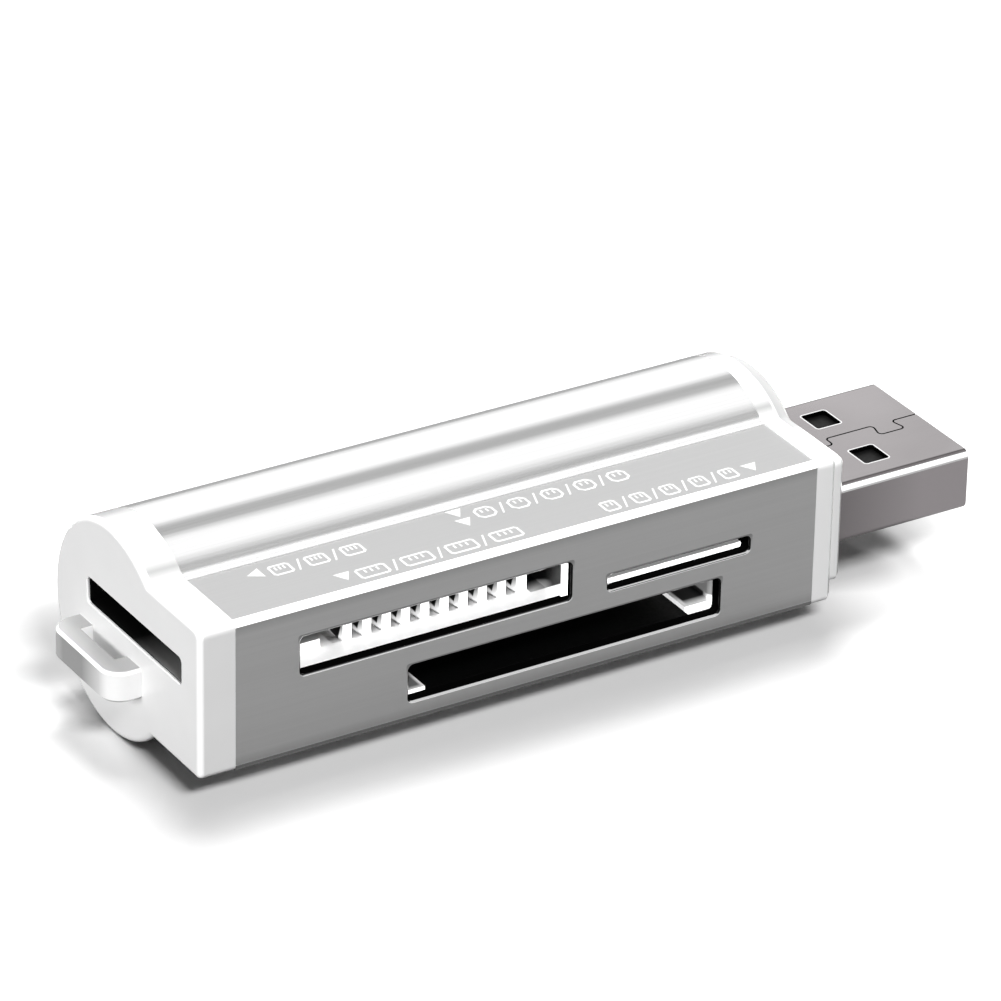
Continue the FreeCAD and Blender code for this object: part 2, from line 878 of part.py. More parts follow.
def build_micro_cover():
    return socket_cover(
        micro_left_x - socket_wall,
        micro_right_x,
        board_front_y + cover_setback,
        micro_back_y + socket_wall,
        board_top_z,
        micro_top_z,
    )


end_centre = end_mouth_centre()
end_y0 = end_centre.y - end_mouth_width / 2
end_y1 = end_centre.y + end_mouth_width / 2
end_z0 = end_centre.z - end_mouth_height / 2
end_z1 = end_centre.z + end_mouth_height / 2
end_stop_x = stick_left_x - socket_wall - cover_sheet - fit_clearance
end_tip_x = end_stop_x - end_wall - contact_foot - contact_ramp - 2 * contact_crest


def build_end_socket():
    """Black housing behind the end mouth, standing on the board."""
    x0 = rear_face_x + end_mouth_lip + fit_clearance
    y0 = end_y0 - end_wall
    y1 = end_y1 + end_wall
    roof_z = end_z1 + end_wall
    nose = block(x0, sleeve_rear_x, y0, y1, end_z0 - end_wall, roof_z)
    body = block(sleeve_rear_x, end_stop_x, y0, y1, board_top_z, roof_z)
    housing = join([nose, body])
    housing = housing.cut(block(x0, end_stop_x - end_wall, end_y0, end_y1, end_z0, end_z1))
    for index in range(end_count):
        y = end_slot_y(index)
        groove = block(
            end_tip_x - contact_side_gap,
            end_stop_x - end_wall,
            y - contact_width / 2 - contact_side_gap,
            y + contact_width / 2 + contact_side_gap,
            end_z0 - contact_groove,
            end_z0,
        )
        housing = housing.cut(groove)
    return housing


def end_slot_y(index):
    return end_centre.y + (index - (end_count - 1) / 2) * end_pitch


def build_end_contact(index):
    base = vec(end_stop_x - end_wall, end_slot_y(index), end_z0 - contact_groove)
    rise = contact_rise + contact_groove / 2
    return spring_contact(base, vec(-1, 0, 0), vec(0, 1, 0), rise)


chip_x = board_rear_x + spigot_length + chip_from_rear
chip_top_z = board_z - chip_standoff


def build_controller_chip():
    """Controller in a two-row package, hanging under the board by its leads."""
    y_middle = axis_y - chip_width
    body = block(
        chip_x,
        chip_x + chip_width,
        y_middle - chip_length / 2,
        y_middle + chip_length / 2,
        chip_top_z - chip_height,
        chip_top_z,
    )
    pieces = [body]
    z_mid = chip_top_z - chip_height / 2
    for index in range(lead_count):
        y = y_middle + (index - (lead_count - 1) / 2) * lead_pitch
        for side in (-1, 1):
            edge = chip_x if side < 0 else chip_x + chip_width
            far = edge + side * lead_reach
            knee = edge + side * lead_reach / 3
            points = [
                (edge, z_mid),
                (knee + side * lead_thickness, z_mid),
                (knee + side * lead_thickness, board_z - lead_thickness),
                (far, board_z - lead_thickness),
                (far, board_z),
                (knee, board_z),
                (knee, z_mid + lead_thickness),
                (edge, z_mid + lead_thickness),
            ]
            outline = [vec(px, y - lead_width / 2, pz) for px, pz in points]
            face = Part.Face(Part.makePolygon(outline + [outline[0]]))
            pieces.append(face.extrude(vec(0, lead_width, 0)))
    return join(pieces)


def build_clock_crystal():
    """Flat crystal can under the board, beside the controller."""
    x = chip_x + chip_width / 2
    y = axis_y - chip_width + chip_length / 2 + crystal_gap + crystal_width / 2
    centre = vec(x, y, board_z - crystal_height)
    return rounded_bar(centre, crystal_length, crystal_width, crystal_corner, "Z", crystal_height)


chip_row_y = (board_front_y + board_back_y) / 2
capacitor_x = board_mid_x - chip_row_gap - terminal_skin - capacitor_width / 2
resistor_x = capacitor_x - (capacitor_width + resistor_width) / 2 - chip_row_gap - 2 * terminal_skin


def end_capped_chips(count, pitch, size, x):
    """Column of two-terminal chips under the board at x, with a thicker cap at both ends of each."""
    length, width, height = size
    cap = length * terminal_share
    x_out = width / 2 + terminal_skin
    low_z = board_z - height
    chips = []
    for index in range(count):
        y0 = chip_row_y + (index - (count - 1) / 2) * pitch - length / 2
        y1 = y0 + length
        pieces = [block(x - width / 2, x + width / 2, y0, y1, low_z, board_z - terminal_skin)]
        for low in (y0, y1 - cap):
            pieces.append(block(x - x_out, x + x_out, low, low + cap, low_z - terminal_skin, board_z))
        chips.append(join(pieces))
    return Part.makeCompound(chips)


def build_board_capacitors():
    size = (capacitor_length, capacitor_width, capacitor_height)
    return end_capped_chips(capacitor_count, capacitor_pitch, size, capacitor_x)


def build_board_resistors():
    size = (resistor_length, resistor_width, resistor_height)
    return end_capped_chips(resistor_count, resistor_pitch, size, resistor_x)


def main():
    pieces = {
        "sleeve": build_sleeve(),
        "rear_cap": build_rear_cap(),
        "plug_cap": build_plug_cap(),
        "plug_shell": build_plug_shell(),
        "plug_insulator": build_plug_insulator(),
        "circuit_board": build_circuit_board(),
        "controller_chip": build_controller_chip(),
        "clock_crystal": build_clock_crystal(),
        "board_capacitors": build_board_capacitors(),
        "board_resistors": build_board_resistors(),
        "stick_socket": build_stick_socket(),
        "stick_cover": build_stick_cover(),
        "wide_socket": build_wide_socket(),
        "wide_guide_rear": build_wide_guide_rear(),
        "wide_guide_plug": build_wide_guide_plug(),
        "micro_socket": build_micro_socket(),
        "micro_cover": build_micro_cover(),
        "end_socket": build_end_socket(),
    }
    rows = (
        ("plug_contact", pin_count, build_plug_contact),
        ("stick_contact", stick_count, build_stick_contact),
        ("wide_contact", wide_count, build_wide_contact),
        ("micro_contact", micro_count, build_micro_contact),
        ("end_contact", end_count, build_end_contact),
    )
    for name, count, build in rows:
        for index in range(count):
            pieces[name + "_" + str(index + 1)] = build(index)
    os.makedirs("parts", exist_ok=True)
    for name, shape in pieces.items():
        shape.exportStep("parts/" + name + ".step")


main()
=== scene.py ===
import bpy
import json
import math
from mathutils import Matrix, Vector


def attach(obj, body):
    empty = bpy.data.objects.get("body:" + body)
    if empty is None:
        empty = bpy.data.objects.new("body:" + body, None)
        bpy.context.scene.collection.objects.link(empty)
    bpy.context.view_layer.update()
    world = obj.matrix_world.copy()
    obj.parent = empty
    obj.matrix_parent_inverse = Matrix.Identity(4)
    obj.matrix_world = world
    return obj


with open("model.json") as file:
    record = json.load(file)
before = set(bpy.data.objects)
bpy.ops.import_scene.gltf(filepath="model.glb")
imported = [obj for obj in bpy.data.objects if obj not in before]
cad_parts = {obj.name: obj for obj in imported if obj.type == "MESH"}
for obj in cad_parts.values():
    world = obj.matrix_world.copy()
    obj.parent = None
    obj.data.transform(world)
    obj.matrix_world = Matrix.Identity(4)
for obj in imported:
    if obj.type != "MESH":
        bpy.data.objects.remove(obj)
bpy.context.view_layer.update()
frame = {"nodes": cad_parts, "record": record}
nodes = frame["nodes"]

MM = 0.001

# Sizes of the reader that the finishes and the marks need, in millimetres
FRONT_Y = -9.9
BLOCK_Z = 2.32
SHELF_Z = BLOCK_Z + 11.1
BARREL_Y = FRONT_Y + 12.1
BARREL_Z = 7.7
FIELD_START_Y = FRONT_Y + 0.45
FIELD_END_Y = FIELD_START_Y + 6.05
FIELD_Z = SHELF_Z - 0.12
REAR_X = -29.475
LUG_TIP_X = REAR_X - 2.35
LUG_TOP_Z = 6.92
LUG_EDGE = 0.22
SLEEVE_X = REAR_X + 2.7
FLANGE_X = SLEEVE_X + 46.7
COLLAR_X = FLANGE_X + 0.9
PLUG_Y = -2.5
PLUG_LOW_Z = 5.62
PLUG_TOP_Z = PLUG_LOW_Z + 4.5

# Each front mouth: where it starts, its width, where its sill is and its height
CARD_MOUTHS = (
    (SLEEVE_X + 4.75, 20.9, BLOCK_Z + 5.68, 3.05),
    (SLEEVE_X + 12.95, 24.6, BLOCK_Z + 1.34, 2.96),
    (SLEEVE_X + 28.33, 11.5, BLOCK_Z + 5.52, 1.41),
)

# Heights of the sills: the wide mouth's, and that of the two mouths over it
SILLS_Z = (BLOCK_Z + 1.34, BLOCK_Z + 5.6)

# The comb of ten contact slots behind the stick mouth
SLOTS = 10
COMB_Y = FRONT_Y + 2.73
COMB_PITCH = 1.481
FIRST_SLOT_X = -17.595
LAST_SLOT_X = FIRST_SLOT_X + (SLOTS - 1) * COMB_PITCH
STICK_CONTACTS = [f"stick_contact_{number}" for number in range(1, SLOTS + 1)]


# Colours and node moves

def linear(code):
    """Colour of a hex code as the shaders want it."""
    parts = [int(code[start:start + 2], 16) / 255 for start in (0, 2, 4)]
    lit = [part / 12.92 if part <= 0.04045 else ((part + 0.055) / 1.055) ** 2.4 for part in parts]
    return (*lit, 1.0)


class Nodes:
    """A node tree, with the moves that the finishes and the sky share."""

    def __init__(self, tree):
        self.tree = tree

    def add(self, kind, **settings):
        node = self.tree.nodes.new(kind)
        for key, value in settings.items():
            setattr(node, key, value)
        return node

    def feed(self, source, socket):
        """Sets the socket to a number or a colour code, or joins another node's output to it."""
        if isinstance(source, (int, float)):
            socket.default_value = source
        elif isinstance(source, str):
            socket.default_value = linear(source)
        else:
            self.tree.links.new(source, socket)

    def math(self, operation, first, second=0.0):
        node = self.add("ShaderNodeMath", operation=operation)
        for source, socket in zip((first, second), node.inputs):
            self.feed(source, socket)
        return node.outputs[0]

    def ramp(self, source, start, end, low=0.0, high=1.0, kind="LINEAR"):
        """Runs from low to high while source runs from start to end, and stays there outside."""
        node = self.add("ShaderNodeMapRange", interpolation_type=kind)
        ends = {"From Min": start, "From Max": end, "To Min": low, "To Max": high}
        for name, value in ends.items():
            node.inputs[name].default_value = value
        self.feed(source, node.inputs["Value"])
        return node.outputs["Result"]

    def by_ray(self, shader, *cases):
        """The shader, changed in turn to each case's own for the rays of its switch."""
        for switch, other in cases:
            choose = self.add("ShaderNodeMixShader")
            for source, socket in zip((switch, shader, other), choose.inputs):
                self.feed(source, socket)
            shader = choose.outputs[0]
        return shader


class Finish(Nodes):
    """One procedural material. Its masks are 1 inside and 0 outside, with edges in millimetres."""

    def __init__(self, name, color, roughness, metallic=0.0, coat=0.0, specular=0.5):
        self.material = bpy.data.materials.new(name)
        self.material.use_nodes = True
        super().__init__(self.material.node_tree)
        self.shader = self.tree.nodes["Principled BSDF"]
        values = {
            "Base Color": color,
            "Roughness": roughness,
            "Metallic": metallic,
            "Coat Weight": coat,
            "Coat Roughness": 0.08,
            "Specular IOR Level": specular,
        }
        for socket, value in values.items():
            self.feed(value, self.shader.inputs[socket])
        self.place = self.add("ShaderNodeTexCoord").outputs["Object"]

    def axes(self):
        """x, y and z of the place on the piece."""
        split = self.add("ShaderNodeSeparateXYZ")
        self.feed(self.place, split.inputs["Vector"])
        return split.outputs

    def stretched(self, scale):
        """The piece's own place, scaled per axis, in turns per millimetre."""
        mapping = self.add("ShaderNodeMapping")
        mapping.inputs["Scale"].default_value = [turns / MM for turns in scale]
        self.feed(self.place, mapping.inputs["Vector"])
        return mapping.outputs["Vector"]

    def noise(self, scale, detail):
        node = self.add("ShaderNodeTexNoise")
        node.inputs["Scale"].default_value = 1.0
        node.inputs["Detail"].default_value = detail
        self.feed(self.stretched(scale), node.inputs["Vector"])
        return node.outputs["Fac"]

    def fine_grain(self):
        return self.noise((4, 4, 4), detail=4)

    def spread(self, noise, low, high):
        """Moves a noise, mostly from 0.3 to 0.7, to the range low to high."""
        return self.ramp(noise, 0.3, 0.7, low, high)

    def past(self, value, place):
        """How far value is past the place, in metres. The place is in millimetres."""
        return self.math("SUBTRACT", value, place * MM)

    def above(self, value, edge, soft=0.02):
        return self.ramp(value, (edge - soft) * MM, (edge + soft) * MM)

    def below(self, value, edge, soft=0.02):
        return self.ramp(value, (edge - soft) * MM, (edge + soft) * MM, 1.0, 0.0)

    def between(self, value, low, high, soft=0.02):
        return self.all_of(self.above(value, low, soft), self.below(value, high, soft))

    def all_of(self, mask, *others):
        for other in others:
            mask = self.math("MULTIPLY", mask, other)
        return mask

    def any_of(self, mask, *others):
        for other in others:
            mask = self.math("MAXIMUM", mask, other)
        return mask

    def outside(self, mask):
        return self.math("SUBTRACT", 1.0, mask)

    def length(self, *sides):
        """Length of the slope over two sides at a right angle."""
        squares = [self.math("MULTIPLY", side, side) for side in sides]
        return self.math("SQRT", self.math("ADD", *squares))

    def box_gap(self, x, y, centre, half, corner=0.0):
        """Distance outside a rounded rectangle, in metres. The sizes are in millimetres."""
        overs = []
        for value, middle, reach in zip((x, y), centre, half):
            off = self.math("ABSOLUTE", self.past(value, middle))
            overs.append(self.math("MAXIMUM", self.past(off, reach - corner), 0.0))
        return self.past(self.length(*overs), corner)

    def mixed(self, factor, first, second):
        """Colour that is first where factor is 0 and second where it is 1. Either may be a code."""
        node = self.add("ShaderNodeMix", data_type="RGBA")
        for source, name in ((factor, "Factor"), (first, "A"), (second, "B")):
            self.feed(source, node.inputs[name])
        return node.outputs["Result"]

    def painted(self, color, *coats):
        """The colour with coats laid over it in turn, each a mask and a colour."""
        for mask, coat in coats:
            color = self.mixed(mask, color, coat)
        return color

    def bump(self, height, strength, distance):
        node = self.add("ShaderNodeBump")
        node.inputs["Strength"].default_value = strength
        node.inputs["Distance"].default_value = distance * MM
        self.feed(height, node.inputs["Height"])
        self.feed(node.outputs["Normal"], self.shader.inputs["Normal"])

    def finished(self, color, roughness):
        self.feed(color, self.shader.inputs["Base Color"])
        self.feed(roughness, self.shader.inputs["Roughness"])
        return self.material


# Finishes of the pieces

# Margins of the masks
HAIR = 0.01
SKIN = 0.05

# Sleeve: its bevels, the edges of its front painted darker as shade, and the strip where the barrel
# meets the shelf, painted white as a highlight
EDGE_BEVEL = 0.42
FRONT_SHADE_EDGE_WIDTH = 0.8
FOOT_HEIGHT = 0.16
FOOT_REACH = 2.0

# The inside of the block and of the barrel, whose walls are painted black as shade
BLOCK_WALL = 0.5
BLOCK_BACK_Y = BARREL_Y - 4.5
BORE_RADIUS = 7.3

# The dark line of painted shade over each card mouth
MOUTH_CORNER = 0.12
LINE_WIDTH = 0.09
LINE_FADE = 0.8

# Behind the front: where the bevelled rims of the mouths, painted dark as shade, start and end, and
# where the walls painted black as shade start
RIM_START = 0.012
RIM_END = 0.16
WALL_START = 0.14

# The grey rim of each sill, a painted highlight: how far it goes below and above the sill's height
SILL_BELOW = 0.03
SILL_ABOVE = 0.14


def shaded_line(finish, x, z, left, width, sill, height):
    """Thin dark line of painted shade on the front over a card mouth, fading down its sides."""
    half = (width / 2, height / 2)
    centre = (left + half[0], sill + half[1])
    gap = finish.box_gap(x, z, centre, half, MOUTH_CORNER)
    over_mouth = finish.above(z, sill + height, LINE_FADE)
    return finish.all_of(over_mouth, finish.below(gap, LINE_WIDTH, soft=0.03))


def sleeve_finish():
    """Satin aluminium: bright barrel and edges, pale shelf field, and painted light and shade: a painted
    highlight where the barrel meets the shelf, a front painted grey with darker edges as shade, painted
    shade lines and dark rims at the mouths, grey painted highlights on the sills, a darker low edge, and
    walls inside painted black as shade.
    """
    finish = Finish("satin_aluminium_sleeve", "F2F2F2", 0.16, specular=0.0)
    x, y, z = finish.axes()
    field = finish.all_of(
        finish.between(y, FIELD_START_Y, FIELD_END_Y),
        finish.between(z, FIELD_Z - SKIN, FIELD_Z + SKIN),
    )
    foot_highlight = finish.all_of(
        finish.between(z, SHELF_Z + HAIR, SHELF_Z + FOOT_HEIGHT, soft=0.07),
        finish.between(y, FIELD_END_Y, FIELD_END_Y + FOOT_REACH, soft=0.05),
    )
    # The front, painted grey as shade, and its middle: nearer its top and bottom the front is painted
    # darker still as shade
    front = finish.all_of(
        finish.below(y, FRONT_Y + 0.005, soft=0.004),
        finish.between(z, BLOCK_Z + EDGE_BEVEL + HAIR, SHELF_Z - EDGE_BEVEL - HAIR),
    )
    front_middle = finish.between(z, BLOCK_Z + FRONT_SHADE_EDGE_WIDTH, SHELF_Z - FRONT_SHADE_EDGE_WIDTH, soft=0.35)
    # The low front bevel, painted darker as shade
    low_edge_shade = finish.all_of(
        finish.below(z, BLOCK_Z + EDGE_BEVEL - HAIR),
        finish.below(y, FRONT_Y + EDGE_BEVEL),
    )
    in_block = finish.all_of(
        finish.between(z, BLOCK_Z + BLOCK_WALL, SHELF_Z - BLOCK_WALL),
        finish.below(y, BLOCK_BACK_Y),
    )
    off_middle = finish.length(finish.past(y, BARREL_Y), finish.past(z, BARREL_Z))
    in_bore = finish.below(off_middle, BORE_RADIUS)
    # The walls inside the block and the bore, painted black as shade
    inside = finish.all_of(
        finish.above(y, FRONT_Y + WALL_START, soft=0.01),
        finish.any_of(in_block, in_bore),
    )
    # The mouths' bevelled rims, painted dark as shade, and the rims of the sills, painted grey as a
    # faint highlight
    mouth_rim_shade = finish.all_of(
        in_block,
        finish.between(y, FRONT_Y + RIM_START, FRONT_Y + RIM_END, soft=0.006),
    )
    sills = [finish.between(z, sill - SILL_BELOW, sill + SILL_ABOVE) for sill in SILLS_Z]
    sill_highlight = finish.all_of(mouth_rim_shade, finish.any_of(*sills))
    lines = [finish.all_of(front, shaded_line(finish, x, z, *mouth)) for mouth in CARD_MOUTHS]

    grain = finish.noise((0.05, 6.0, 6.0), detail=4)
    wander = finish.spread(grain, 0, 1)
    # Painted light and shade: the barrel's foot painted white as a highlight, the front painted grey and
    # darker at its edges as shade, dark shade lines over the mouths, the mouths' rims painted dark as
    # shade with grey painted highlights on the sills, the low edge painted darker, and the walls inside
    # painted black as shade
    color = finish.painted(
        finish.mixed(wander, "EFEFEF", "F5F5F5"),
        (field, finish.mixed(wander, "C1C1C1", "C4C4C4")),
        (foot_highlight, "FFFFFF"),
        (front, finish.mixed(front_middle, "B2B2B2", finish.mixed(wander, "C2C2C2", "C6C6C6"))),
        *[(line, "474747") for line in lines],
        (mouth_rim_shade, "1C1C1C"),
        (sill_highlight, "989898"),
        (low_edge_shade, "8A8A8A"),
        (inside, "080808"),
    )
    matt = finish.all_of(finish.any_of(field, foot_highlight), 0.6)
    finish.feed(finish.outside(finish.any_of(inside, matt)), finish.shader.inputs["Metallic"])
    rough = finish.spread(grain, 0.145, 0.17)
    for mask, more in ((finish.math("ADD", field, front), 0.28), (inside, 0.5)):
        rough = finish.math("ADD", rough, finish.all_of(mask, more))
    finish.bump(grain, 0.014, 0.01)
    return finish.finished(color, rough)


# The rounded rims along x, painted white as highlights, each with its soft edge
CAP_RIMS = (
    (REAR_X + 0.05, REAR_X + 0.36, 0.05),
    (FLANGE_X - 0.38, FLANGE_X - 0.03, 0.03),
    (COLLAR_X - 0.28, COLLAR_X - 0.03, 0.03),
)
CAP_RIM_WIDTH = 0.4

# Where the painted shades and the painted reflection of the caps and the lug start and end
PLUG_CAP_X = FLANGE_X - 6.0
LUG_TIP_DEPTH = 0.3
LUG_TIP_Y = (0.2, 6.0)
SHELF_BACK_Y = -4.5
COLLAR_FOOT = 0.25
VALLEY_Y = (-4.6, 0.0)
VALLEY_Z = (SHELF_Z + 0.15, SHELF_Z + 1.0)
FAR_SIDE_Y = 2.6
FAR_SIDE_Z = 12.6


def cap_finish():
    """White moulded plastic with a soft gloss, and painted light and shade: rims painted white as
    highlights, the lug painted darker as shade, grey painted shade on the collar and towards the back, a
    grey painted reflection band behind the shelf, and the plug cap painted brighter as light.
    """
    finish = Finish("white_moulded_cap", "E8E8E8", 0.24, coat=0.25)
    x, y, z = finish.axes()
    # The rims, painted white as highlights
    rim = finish.any_of(*[finish.between(x, *edges) for edges in CAP_RIMS])
    # The plug cap, painted brighter as light
    plug_cap = finish.above(x, PLUG_CAP_X, soft=1.0)
    # The lug's top and tip, painted darker as shade
    lug_top_shade = finish.all_of(
        finish.below(x, REAR_X - 0.03),
        finish.between(z, LUG_TOP_Z - 0.03, LUG_TOP_Z + 0.03, soft=0.01),
    )
    lug_tip_shade = finish.all_of(
        finish.below(x, LUG_TIP_X + LUG_TIP_DEPTH, soft=0.2),
        finish.below(z, LUG_TOP_Z - LUG_EDGE, soft=0.01),
        finish.between(y, *LUG_TIP_Y, soft=1.6),
    )
    # Behind the shelf, the collar's arc and its foot by the flange are painted grey as shade
    behind_shelf = finish.above(y, SHELF_BACK_Y, soft=0.5)
    collar_arc_shade = finish.all_of(finish.above(x, FLANGE_X - 0.02), behind_shelf)
    collar_foot_shade = finish.between(x, FLANGE_X - 0.02, FLANGE_X + COLLAR_FOOT, soft=0.08)
    collar_foot_shade = finish.all_of(collar_foot_shade, behind_shelf)
    # A grey band in the hollow behind the shelf, a painted reflection that carries the barrel's
    # reflected grey band onto the cap
    valley_reflection = finish.all_of(
        finish.between(y, *VALLEY_Y, soft=0.3),
        finish.between(z, *VALLEY_Z, soft=0.4),
    )
    # The far side of the arcs, painted grey as shade
    far_side_shade = finish.all_of(
        finish.above(y, FAR_SIDE_Y, soft=1.8),
        finish.above(z, FAR_SIDE_Z, soft=1.4),
    )
    outer_skin = finish.between(x, REAR_X + CAP_RIM_WIDTH, FLANGE_X - CAP_RIM_WIDTH, soft=0.08)
    cloud = finish.spread(finish.noise((0.25, 0.25, 0.25), detail=2), 0, 1)
    # Painted light and shade: the plug cap painted brighter as light, the lug's top and tip, the
    # collar's arc and foot and the far side painted grey as shade, a grey painted reflection band behind
    # the shelf, and the rims painted white as highlights
    color = finish.painted(
        finish.mixed(cloud, "EDEDED", "F0F0F0"),
        (plug_cap, "FBFBFB"),
        (lug_top_shade, "ABABAB"),
        (lug_tip_shade, "989898"),
        (collar_arc_shade, "B6B6B6"),
        (collar_foot_shade, "B0B0B0"),
        (finish.all_of(outer_skin, valley_reflection), "A8A8A8"),
        (finish.all_of(outer_skin, far_side_shade), "A8A8A8"),
        (rim, "FFFFFF"),
    )
    skin = finish.noise((0.9, 0.9, 0.9), detail=1)
    finish.bump(skin, 0.03, 0.02)
    rough = finish.math("SUBTRACT", finish.spread(skin, 0.22, 0.26), finish.all_of(rim, 0.08))
    return finish.finished(color, rough)


# Latch windows of the plug: where they are, how far off its middle line, half size and corner
WINDOW_CENTRE = (25.575, 2.95)
WINDOW_HALF = (1.0, 1.1)
WINDOW_CORNER = 0.2

# Seam and folds of the plug, the folds painted white as highlights: how far off its middle line, and how
# deep under its top
SEAM_REACH = 3.2
SEAM_DEPTH = (0.14, 0.02)
FOLD_START = 5.5
FOLD_DEPTH = (0.54, 0.1)

# Sides of the plug: how far off its middle line, and the middle of their painted shade beside the collar
SIDE_START = 5.9
COLLAR_SHADE_X = 22.0


def plug_finish():
    """Plated steel sheet: faint drawing lines, a dark seam, and painted light and shade: the folds and
    window rims painted white as highlights, a dark painted reflection over the folds, the sides painted
    lighter than the top, shade painted on them by the collar, and black shade painted in the windows.
    """
    finish = Finish("plated_steel_plug", "AFABAB", 0.26, metallic=1.0)
    x, y, z = finish.axes()
    off = finish.math("ABSOLUTE", finish.past(y, PLUG_Y))
    gap = finish.box_gap(x, off, WINDOW_CENTRE, WINDOW_HALF, WINDOW_CORNER)
    in_sheet = finish.between(z, PLUG_LOW_Z + 0.03, PLUG_TOP_Z - 0.03, soft=0.01)
    on_face = finish.outside(in_sheet)
    # The window rims are painted white as highlights, and their walls black as shade
    window_rim_highlight = finish.all_of(on_face, finish.between(gap, -0.05, 0.1, soft=0.03))
    near_window = finish.below(gap, 0.02, soft=0.01)
    window_wall_shade = finish.all_of(near_window, in_sheet)
    seam = finish.all_of(
        finish.between(z, *[PLUG_TOP_Z - depth for depth in SEAM_DEPTH], soft=0.01),
        finish.outside(near_window),
        finish.below(off, SEAM_REACH, soft=0.05),
    )
    # The folds, painted white as highlights, and a dark line over them, a painted reflection
    fold_highlight = finish.all_of(
        finish.above(off, FOLD_START),
        finish.between(z, *[PLUG_TOP_Z - depth for depth in FOLD_DEPTH]),
    )
    dark_reflection_over_fold = finish.all_of(
        finish.above(off, FOLD_START, soft=0.03),
        finish.above(z, PLUG_TOP_Z - FOLD_DEPTH[1]),
    )
    # The sides are painted lighter than the top, as light, and darker towards the collar as shade
    side = finish.all_of(finish.above(off, SIDE_START, soft=0.05), finish.outside(fold_highlight))
    side_shade_by_collar = finish.all_of(side, finish.below(x, COLLAR_SHADE_X, soft=6.0))
    cloud = finish.spread(finish.noise((0.12, 0.12, 0.12), detail=1), 0, 1)
    # Painted light and shade: the sides lighter than the top and darker by the collar, a dark reflection
    # over the folds, white highlights on the folds and the window rims, and black shade in the windows
    color = finish.painted(
        finish.mixed(cloud, "9C9899", "A8A4A5"),
        (side, "C4BEC0"),
        (side_shade_by_collar, "686465"),
        (dark_reflection_over_fold, "757172"),
        (finish.any_of(fold_highlight, window_rim_highlight), "FFFFFF"),
        (seam, "2E2B2C"),
        (window_wall_shade, "1C1C1C"),
    )
    lines = finish.noise((0.15, 9.0, 9.0), detail=5)
    finish.bump(lines, 0.03, 0.01)
    rough = finish.math("SUBTRACT", finish.spread(lines, 0.21, 0.27), finish.all_of(fold_highlight, 0.11))
    return finish.finished(color, rough)


def sheet_finish(name, low, high, roughness):
    """Bright sheet metal with a fine grain."""
    finish = Finish(name, high, roughness, metallic=1.0)
    lines = finish.noise((6.0, 0.3, 6.0), detail=4)
    color = finish.mixed(finish.spread(lines, 0, 1), low, high)
    return finish.finished(color, finish.spread(lines, roughness - 0.05, roughness + 0.08))


def moulded_finish(name, low, high, roughness, specular=0.5):
    """Moulded plastic, ceramic or print with a fine texture."""
    finish = Finish(name, high, roughness, specular=specular)
    grain = finish.fine_grain()
    finish.bump(grain, 0.1, 0.01)
    color = finish.mixed(finish.spread(grain, 0, 1), low, high)
    return finish.finished(color, finish.spread(grain, roughness - 0.06, roughness + 0.06))


# The line of sight into the mouths: millimetres to the right and down for each one of depth
SIGHT_RIGHT = 0.61
SIGHT_DOWN = 0.66

# The black wedges of painted shade in the slots: their tips, how much lower the first is, and how their
# sides climb
WEDGE_Z = 8.72
FIRST_WEDGE_DROP = 0.35
WEDGE_CLIMBS = (-1.26, 3.7)

# Where the slots and wedges of the comb can be seen, from the middle of their slot
FIRST_SLOT_SEEN = (-0.6, 0.42)
COMB_SEEN = (-0.7, 0.4)

# The nook beside the nose of the stick socket, and the middle and reach of its dark spot of painted
# shade
NOOK_X = (-3.04, -1.78)
NOOK_FLOOR_Z = 7.78
NOOK_SPOT = (-2.5, 7.9)
NOOK_SPOT_REACH = (1.5, 0.8)


def seen_through_mouth(finish, x, y, z):
    """Depth behind the comb's front plane, and the place on it that shows each point behind."""
    depth = finish.past(y, COMB_Y)
    across = finish.math("SUBTRACT", x, finish.math("MULTIPLY", depth, SIGHT_RIGHT))
    rise = finish.math("ADD", z, finish.math("MULTIPLY", depth, SIGHT_DOWN))
    return depth, across, rise


def slot_shade_wedge(finish, across, rise):
    """Black wedge of painted shade, point downwards, at the top of every slot of the comb. The first is
    longer.
    """
    comb_start = FIRST_SLOT_X - 0.5 * COMB_PITCH
    turns = finish.math("DIVIDE", finish.past(across, comb_start), COMB_PITCH * MM)
    off_middle = finish.math("SUBTRACT", finish.math("FRACT", turns), 0.5)
    off_middle = finish.math("MULTIPLY", off_middle, COMB_PITCH * MM)
    climbs = [finish.math("MULTIPLY", off_middle, climb) for climb in WEDGE_CLIMBS]
    over = finish.math("SUBTRACT", rise, finish.math("MAXIMUM", *climbs))
    first = finish.all_of(
        finish.above(over, WEDGE_Z - FIRST_WEDGE_DROP, soft=0.06),
        finish.between(across, *[FIRST_SLOT_X + reach for reach in FIRST_SLOT_SEEN], soft=0.03),
    )
    on_comb = finish.between(across, FIRST_SLOT_X + COMB_SEEN[0], LAST_SLOT_X + COMB_SEEN[1], soft=0.05)
    return finish.all_of(finish.any_of(finish.above(over, WEDGE_Z, soft=0.06), first), on_comb)


